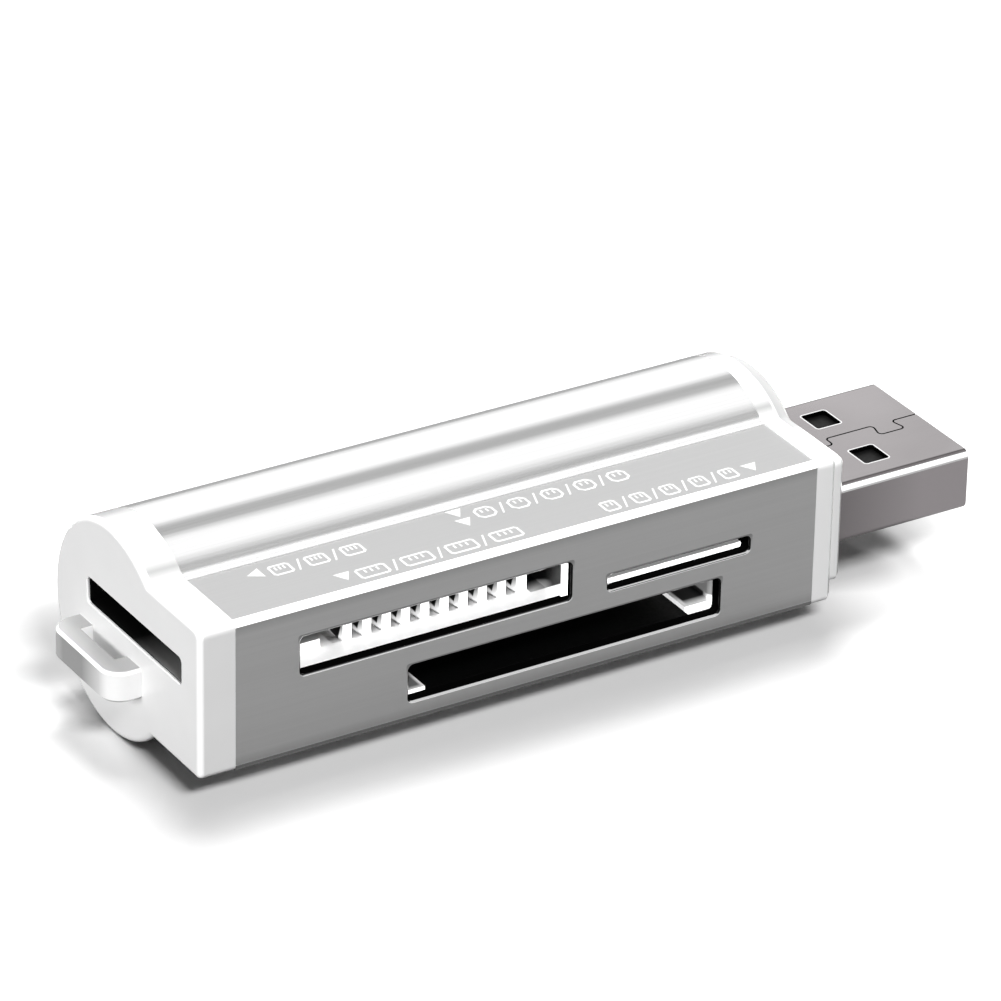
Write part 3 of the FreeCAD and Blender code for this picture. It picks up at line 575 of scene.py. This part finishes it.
def socket_finish():
    """White moulded socket. Its contact slots are painted grey as shade towards their top, with a black
    wedge of painted shade in each, and a dark spot of painted shade in the nook beside the nose.
    """
    finish = Finish("white_moulded_socket", "FDFDFD", 0.4)
    x, y, z = finish.axes()
    depth, across, rise = seen_through_mouth(finish, x, y, z)
    in_slot = finish.above(depth, 0.02, soft=0.01)
    # The dark spot of painted shade in the nook beside the nose
    off_spot = [
        finish.math("DIVIDE", finish.past(side, middle), reach * MM)
        for side, middle, reach in zip((across, rise), NOOK_SPOT, NOOK_SPOT_REACH)
    ]
    nook = finish.mixed(finish.math("MINIMUM", finish.length(*off_spot), 1.0), "B4B4B4", "060606")
    beside_nose = finish.all_of(
        finish.between(x, *NOOK_X),
        finish.above(rise, NOOK_FLOOR_Z, soft=0.04),
        finish.above(y, FRONT_Y + EDGE_BEVEL),
    )
    grain = finish.fine_grain()
    # Painted shade: grey towards the top of the slots, a black wedge in each, and a dark spot in the
    # nook beside the nose
    color = finish.painted(
        finish.mixed(finish.spread(grain, 0, 1), "F8F8F8", "FDFDFD"),
        (finish.all_of(in_slot, finish.above(rise, WEDGE_Z, soft=0.4)), "8C8C8C"),
        (finish.all_of(in_slot, slot_shade_wedge(finish, across, rise)), "040404"),
        (beside_nose, nook),
    )
    finish.bump(grain, 0.05, 0.01)
    return finish.finished(color, finish.spread(grain, 0.36, 0.44))


def comb_contact_finish():
    """Dull nickel of the contacts in the comb, with painted shade: darker further in, and black in the
    wedge of their slot.
    """
    finish = Finish("shaded_comb_contact", "B9B7B3", 0.45, specular=0.3)
    depth, across, rise = seen_through_mouth(finish, *finish.axes())
    grain = finish.noise((0.6, 9, 9), detail=3)
    color = finish.painted(
        finish.mixed(finish.spread(grain, 0, 1), "A9A7A3", "B9B7B3"),
        (finish.above(depth, 2.2, soft=0.4), "3C3B39"),
        (slot_shade_wedge(finish, across, rise), "040404"),
    )
    return finish.finished(color, finish.spread(grain, 0.4, 0.5))


# Rails of the wide mouth: where each starts along x, and how deep its bright front end is, with painted
# shade behind it
PLUG_RAIL_X = 8.8
PLUG_RAIL_FRONT = 1.5
UPRIGHT_X = 9.12
UPRIGHT_Z = 4.72
REAR_RAIL_X = -12.1
REAR_RAIL_FRONT = 1.2


def guide_finish():
    """Bright rails of the wide mouth: white in front, painted dark further in as shade."""
    finish = Finish("bright_guide_rail", "F6F6F6", 0.35, metallic=0.25)
    x, y, z = finish.axes()
    plug_rail_shade = finish.all_of(
        finish.above(x, PLUG_RAIL_X, soft=0.08),
        finish.above(y, FRONT_Y + PLUG_RAIL_FRONT, soft=0.35),
    )
    upright_shade = finish.all_of(finish.above(x, UPRIGHT_X, soft=0.04), finish.above(z, UPRIGHT_Z, soft=0.06))
    rear_rail_shade = finish.all_of(
        finish.below(x, REAR_RAIL_X, soft=0.1),
        finish.above(y, FRONT_Y + REAR_RAIL_FRONT, soft=0.2),
    )
    grain = finish.fine_grain()
    # Painted shade: the rails dark and grey further in, and the post at the plug's side grey
    color = finish.painted(
        finish.mixed(finish.spread(grain, 0, 1), "F2F2F2", "FAFAFA"),
        (plug_rail_shade, "161616"),
        (upright_shade, "747474"),
        (rear_rail_shade, "6E6E6E"),
    )
    return finish.finished(color, finish.spread(grain, 0.32, 0.4))


# The part of the end mouth painted paler as light: how deep it goes in, and the middle of its fade to
# the back
END_MOUTH_DEPTH = 1.6
END_MOUTH_LIT_Y = -5.5


def end_socket_finish():
    """Black socket behind the end mouth, painted paler at its mouth towards the front as light."""
    finish = Finish("black_end_socket", "0A0A0A", 0.5, specular=0.2)
    x, y, _ = finish.axes()
    at_mouth = finish.between(x, REAR_X, REAR_X + END_MOUTH_DEPTH, soft=1.4)
    # The front part of the mouth, painted pale as light
    lit = finish.all_of(finish.below(y, END_MOUTH_LIT_Y, soft=5.0), at_mouth)
    grain = finish.fine_grain()
    color = finish.mixed(lit, finish.mixed(finish.spread(grain, 0, 1), "070707", "0D0D0D"), "FAFAFA")
    return finish.finished(color, finish.spread(grain, 0.45, 0.55))


def board_finish():
    """Black lacquer over copper tracks, which show as paler lines."""
    finish = Finish("black_lacquered_board", "0E1110", 0.35, coat=0.2)
    tracks = finish.add("ShaderNodeTexBrick")
    for name, value in (
        ("Scale", 1.0),
        ("Color1", "0B0E0D"),
        ("Color2", "0F1312"),
        ("Mortar", "1C2220"),
        ("Mortar Size", 0.04),
        ("Vector", finish.stretched((0.5, 1.1, 1.0))),
    ):
        finish.feed(value, tracks.inputs[name])
    finish.feed(tracks.outputs["Color"], finish.shader.inputs["Base Color"])
    return finish.material


finishes = {
    "satin_aluminium": sleeve_finish(),
    "white_cap": cap_finish(),
    "plug_steel": plug_finish(),
    "black_insulator": moulded_finish("black_moulded_plastic", "070707", "0D0D0D", 0.5, specular=0.2),
    "black_board": board_finish(),
    "black_package": moulded_finish("black_chip_package", "151515", "1E1E1E", 0.55),
    "bright_can": sheet_finish("bright_crystal_can", "B9B8B4", "CFCECA", 0.25),
    "ceramic_tan": moulded_finish("tan_ceramic", "8A6A48", "A3815A", 0.45),
    "white_socket": socket_finish(),
    "cover_steel": sheet_finish("blackened_cover_steel", "262626", "303030", 0.4),
    "guide_steel": guide_finish(),
    "gilt_contact": sheet_finish("gilt_spring_contact", "C59E45", "DDB95E", 0.22),
}
for entry in frame["record"]["subparts"]:
    node = nodes[entry["node"]]
    node.data.materials.clear()
    node.data.materials.append(finishes[entry["material_slot"]])

# Pieces with a finish of their own instead of their slot's
own_finishes = {
    "end_socket": end_socket_finish(),
    "wide_socket": moulded_finish("black_wide_socket", "030303", "060606", 0.6, specular=0.1),
}
# The stick contacts take a finish with the comb's painted shade
own_finishes.update(dict.fromkeys(STICK_CONTACTS, comb_contact_finish()))
for name, material in own_finishes.items():
    nodes[name].data.materials[0] = material


# Printed marks on the shelf field

PRINT_Z = FIELD_Z - 0.01
PRINT_THICKNESS = 0.03
ARROW_RADIUS = 0.7
OUTLINE_WIDTH = 0.18
CONTACT_STROKE = (0.15, 0.4)

# Cards wider than this have three contact strokes, the others two
WIDE_CARD = 1.5

# Where the contact strokes are, in shares of the card's width and depth
WIDE_CARD_CONTACTS = (-0.2, 0.0, 0.2)
NARROW_CARD_CONTACTS = (-0.13, 0.17)
CONTACT_ROW = 0.14

# Slashes between the cards, and the room that each takes
SLASH_WIDTH = 0.15
SLASH_HEIGHT = 1.4
SLASH_LEAN = 0.5
SLASH_ROOM = 1.1

# Each arrow: its place and its turn in degrees
ARROWS = (
    (-22.3, -4.7, 90),
    (-17.5, -7.7, 180),
    (-6.7, -3.85, 180),
    (-6.75, -5.2, 180),
    (14.05, -7.95, 180),
)

# Each row of cards: where it starts, how many, and a card's width, depth and cut corner
CARD_ROWS = (
    (-20.6, -4.95, 3, (1.6, 1.35, 0.2)),
    (-15.5, -8.1, 4, (2.3, 1.35, 0.2)),
    (-4.9, -4.75, 5, (1.5, 1.45, 0.35)),
    (2.8, -8.1, 5, (1.25, 1.4, 0.2)),
)


def raised_print():
    """Gives the flat print that is being edited its thickness and ends the edit."""
    bpy.ops.mesh.select_all(action="SELECT")
    bpy.ops.mesh.extrude_region_move(TRANSFORM_OT_translate={"value": (0, 0, PRINT_THICKNESS * MM)})
    bpy.ops.mesh.select_all(action="SELECT")
    bpy.ops.mesh.normals_make_consistent(inside=False)
    bpy.ops.object.mode_set(mode="OBJECT")
    bpy.ops.object.transform_apply(location=True, rotation=True, scale=True)
    return bpy.context.object


def flat_plate(x, y, width, depth, lean=0.0):
    """Flat rectangle of print. Its far edge leans to the right."""
    bpy.ops.object.select_all(action="DESELECT")
    bpy.ops.mesh.primitive_plane_add(size=1, location=(0, 0, 0))
    plate = bpy.context.object
    for corner in plate.data.vertices:
        across, along, _ = corner.co
        corner.co.x = (x + across * width + along * lean) * MM
        corner.co.y = (y + along * depth) * MM
        corner.co.z = PRINT_Z * MM
    return plate


def arrow_mark(x, y, turn):
    """Triangle that points to its mouth."""
    bpy.ops.object.select_all(action="DESELECT")
    bpy.ops.mesh.primitive_circle_add(
        vertices=3,
        radius=ARROW_RADIUS * MM,
        fill_type="NGON",
        location=(x * MM, y * MM, PRINT_Z * MM),
        rotation=(0, 0, math.radians(turn)),
    )
    bpy.ops.object.mode_set(mode="EDIT")
    return raised_print()


def card_mark(width, depth, cut):
    """Outline of a card seen from above: one corner cut off, and a row of contacts inside."""
    outline = flat_plate(0, 0, width, depth)
    contacts = WIDE_CARD_CONTACTS if width > WIDE_CARD else NARROW_CARD_CONTACTS
    row = CONTACT_ROW * depth
    strokes = [flat_plate(share * width, row, *CONTACT_STROKE) for share in contacts]
    points = outline.data.vertices
    cut_corner = max(points, key=lambda point: point.co.x + point.co.y).index
    for point in points:
        point.select = point.index == cut_corner
    bpy.ops.object.select_all(action="DESELECT")
    bpy.context.view_layer.objects.active = outline
    outline.select_set(True)
    bpy.ops.object.mode_set(mode="EDIT")
    bpy.ops.mesh.select_mode(type="VERT")
    bpy.ops.mesh.bevel(offset=cut * MM, affect="VERTICES")
    bpy.ops.mesh.select_all(action="SELECT")
    bpy.ops.mesh.inset(thickness=OUTLINE_WIDTH * MM, depth=0)
    bpy.ops.mesh.delete(type="ONLY_FACE")
    bpy.ops.object.mode_set(mode="OBJECT")
    for stroke in strokes:
        stroke.select_set(True)
    bpy.ops.object.join()
    bpy.ops.object.mode_set(mode="EDIT")
    return raised_print()


def slash_mark():
    """Thin leaning stroke between two cards."""
    flat_plate(0, 0, SLASH_WIDTH, SLASH_HEIGHT, SLASH_LEAN)
    bpy.ops.object.mode_set(mode="EDIT")
    return raised_print()


def printed(mark, x, y):
    """Copy of a mark with its own mesh, moved to x, y."""
    copy = mark.copy()
    copy.data = mark.data.copy()
    bpy.context.scene.collection.objects.link(copy)
    for point in copy.data.vertices:
        point.co.x += x * MM
        point.co.y += y * MM
    return copy


marks = [arrow_mark(*arrow) for arrow in ARROWS]
slash = slash_mark()
for x, y, count, size in CARD_ROWS:
    card = card_mark(*size)
    pitch = size[0] + SLASH_ROOM
    for index in range(count):
        marks.append(printed(card, x + index * pitch, y))
        if index:
            marks.append(printed(slash, x + (index - 0.5) * pitch, y))
    bpy.data.objects.remove(card)
bpy.data.objects.remove(slash)
bpy.ops.object.select_all(action="DESELECT")
for mark in marks:
    mark.select_set(True)
bpy.context.view_layer.objects.active = marks[0]
bpy.ops.object.join()
slot_marks = bpy.context.object
slot_marks.name = "slot_marks"
slot_marks.data.materials.append(moulded_finish("white_print", "F6F6F6", "FFFFFF", 0.45))
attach(slot_marks, "root")


# Floor

# Half its side, in metres
FLOOR_HALF = 3.0

# Middle and half size of what stands over the floor, in millimetres
BODY_OVER_FLOOR = ((-8.0, 0.0), (21.5, 9.9))
COLLAR_OVER_FLOOR = ((23.65, 0.5), (2.85, 3.0))
PLUG_OVER_FLOOR = ((31.0, 1.5), (3.5, 2.5))

# The collar and the plug are higher over the floor, so they are counted as further away, and the glow
# lightens their shadows closer in, as painted light
COLLAR_GROWTH = 2.0
COLLAR_LEAD = 3.0
PLUG_LEAD = 6.5

# The bright spot of floor behind the lug, a painted pool of light in its shadow: middle and half size,
# reach and glow
LUG_SPOT = ((-31.0, 7.2), (1.2, 0.8))
LUG_SPOT_REACH = 3.5
LUG_SPOT_GLOW = 0.3


def floor_finish():
    """Pale floor. It keeps the reader's shadow, and away from the reader it is lifted to white."""
    finish = Finish("pale_floor", "F2F2F2", 0.6)
    finish.tree.nodes.remove(finish.shader)
    x, y, _ = finish.axes()
    body_gap = finish.box_gap(x, y, *BODY_OVER_FLOOR)
    collar_gap = finish.math("MULTIPLY", finish.box_gap(x, y, *COLLAR_OVER_FLOOR), COLLAR_GROWTH)
    collar_gap = finish.math("ADD", collar_gap, COLLAR_LEAD * MM)
    plug_gap = finish.math("ADD", finish.box_gap(x, y, *PLUG_OVER_FLOOR), PLUG_LEAD * MM)
    gap = finish.math("MINIMUM", body_gap, finish.math("MINIMUM", collar_gap, plug_gap))
    # A painted pool of light behind the lug, lightening its shadow
    spot_gap = finish.box_gap(x, y, *LUG_SPOT)
    lug_light_spot = finish.ramp(spot_gap, 0.0, LUG_SPOT_REACH * MM, LUG_SPOT_GLOW, 0.0, "SMOOTHSTEP")

    def plain(color):
        node = finish.add("ShaderNodeBsdfDiffuse")
        finish.feed(color, node.inputs["Color"])
        return node.outputs[0]

    def lifted(color, start, end, strength):
        """Floor whose glow grows from start to end, in millimetres from the reader."""
        glow = finish.add("ShaderNodeEmission")
        grow = finish.ramp(gap, start * MM, end * MM, 0.0, strength, "SMOOTHSTEP")
        finish.feed(finish.math("MAXIMUM", grow, lug_light_spot), glow.inputs["Strength"])
        both = finish.add("ShaderNodeAddShader")
        finish.feed(plain(color), both.inputs[0])
        finish.feed(glow.outputs[0], both.inputs[1])
        return both.outputs[0]

    rays = finish.add("ShaderNodeLightPath").outputs
    in_gloss = finish.any_of(rays["Is Glossy Ray"], rays["Is Transmission Ray"])
    shader = finish.by_ray(
        plain("606060"),
        (in_gloss, lifted("A6A6A6", 110.0, 220.0, 0.6)),
        (rays["Is Camera Ray"], lifted("F4F4F4", 5.0, 14.0, 0.5)),
    )
    finish.feed(shader, finish.tree.nodes["Material Output"].inputs["Surface"])
    return finish.material


bpy.ops.object.select_all(action="DESELECT")
bpy.ops.mesh.primitive_plane_add(size=2 * FLOOR_HALF, location=(0, 0, 0))
floor = bpy.context.object
floor.name = "floor"
floor.data.materials.append(floor_finish())


# Sky

SKY_LIGHT = 0.1
SKY_GLOSS = 2.0

# What the gloss sees: degrees from straight up towards the front, and the grey there
SKY_BANDS = (
    (-180, 1.0),
    (-90, 0.5),
    (-80, 0.6),
    (-46, 0.62),
    (-37, 0.24),
    (-26, 0.24),
    (-18, 0.58),
    (3, 0.58),
    (12, 0.34),
    (19, 0.13),
    (20.6, 0.13),
    (22.3, 1.0),
    (30, 1.0),
    (62, 1.0),
    (75, 0.6),
    (180, 0.5),
)


def studio_sky():
    """Pale sky. In gloss it shows long bright and grey bands that run along the reader."""
    world = bpy.data.worlds.new("studio_sky")
    bpy.context.scene.world = world
    world.use_nodes = True
    sky = Nodes(world.node_tree)

    axes = sky.add("ShaderNodeSeparateXYZ")
    sky.feed(sky.add("ShaderNodeTexCoord").outputs["Generated"], axes.inputs[0])
    forward = sky.math("MULTIPLY", axes.outputs["Y"], -1.0)
    lean = sky.math("ARCTAN2", forward, axes.outputs["Z"])
    bands = sky.add("ShaderNodeValToRGB")
    sky.feed(sky.ramp(lean, -math.pi, math.pi), bands.inputs["Fac"])
    stops = bands.color_ramp.elements
    for angle, _ in SKY_BANDS[1:-1]:
        stops.new((angle + 180) / 360)
    for stop, (_, grey) in zip(stops, SKY_BANDS):
        stop.color = (grey, grey, grey, 1)

    def background(color, strength):
        node = sky.add("ShaderNodeBackground")
        sky.feed(color, node.inputs["Color"])
        sky.feed(strength, node.inputs["Strength"])
        return node.outputs[0]

    rays = sky.add("ShaderNodeLightPath").outputs
    shader = sky.by_ray(
        background("FFFFFF", SKY_LIGHT),
        (rays["Is Glossy Ray"], background(bands.outputs["Color"], SKY_GLOSS)),
        (rays["Is Camera Ray"], background("FFFFFF", 1.0)),
    )
    sky.feed(shader, sky.tree.nodes["World Output"].inputs["Surface"])


studio_sky()


# Lamps, placed and sized in metres

def soft_box(name, place, target, width, depth, watts):
    """Rectangular lamp at place, turned towards target and hidden from gloss."""
    data = bpy.data.lights.new(name, "AREA")
    data.shape = "RECTANGLE"
    data.size = width
    data.size_y = depth
    data.energy = watts
    lamp = bpy.data.objects.new(name, data)
    bpy.context.scene.collection.objects.link(lamp)
    lamp.location = place
    way = Vector([end - start for start, end in zip(place, target)])
    lamp.rotation_euler = way.to_track_quat("-Z", "Y").to_euler()
    lamp.visible_glossy = False
    return lamp


def lit_only(lamp, names):
    """Keeps the lamp's light to the named pieces."""
    group = bpy.data.collections.new(lamp.name + "_pieces")
    for name in names:
        group.objects.link(nodes[name])
    lamp.light_linking.receiver_collection = group


# What the lamps are turned towards
MIDDLE = (0, 0, 0.01)
MOUTHS = (0, 0, 0.008)

# What the lamp into the mouths lights, beside the stick contacts
MOUTH_PIECES = ["stick_socket", "micro_socket", "wide_guide_rear", "wide_guide_plug"]

soft_box("lamp_above_front", (-0.08, -0.355, 0.36), MIDDLE, 0.16, 0.08, 2.0)
soft_box("lamp_behind", (0.077, 0.124, 0.46), MIDDLE, 0.15, 0.15, 1.5)
side_lamp = soft_box("lamp_beside", (-0.46, -0.04, 0.12), MIDDLE, 0.2, 0.2, 1.65)
lit_only(side_lamp, ["rear_cap", "plug_cap", "end_socket"])
mouth_lamp = soft_box("lamp_into_mouths", (-0.19, -0.37, 0.055), MOUTHS, 0.12, 0.05, 4.0)
lit_only(mouth_lamp, MOUTH_PIECES + STICK_CONTACTS)


# Camera, fitted to the photo

# Place in metres, turn in degrees, focal length and sensor width in millimetres
CAMERA_PLACE = (-0.204315, -0.327447, 0.217176)
CAMERA_TURN = (61.8439, -1.0336, -31.3131)
FOCAL_LENGTH = 233.19
SENSOR_WIDTH = 36

lens = bpy.data.cameras.new("camera")
lens.sensor_width = SENSOR_WIDTH
lens.lens = FOCAL_LENGTH
lens.clip_start = 0.01
lens.clip_end = 20
camera = bpy.data.objects.new("camera", lens)
bpy.context.scene.collection.objects.link(camera)
camera.location = CAMERA_PLACE
camera.rotation_euler = [math.radians(angle) for angle in CAMERA_TURN]
bpy.context.scene.camera = camera
bpy.context.scene.view_settings.view_transform = "Standard"
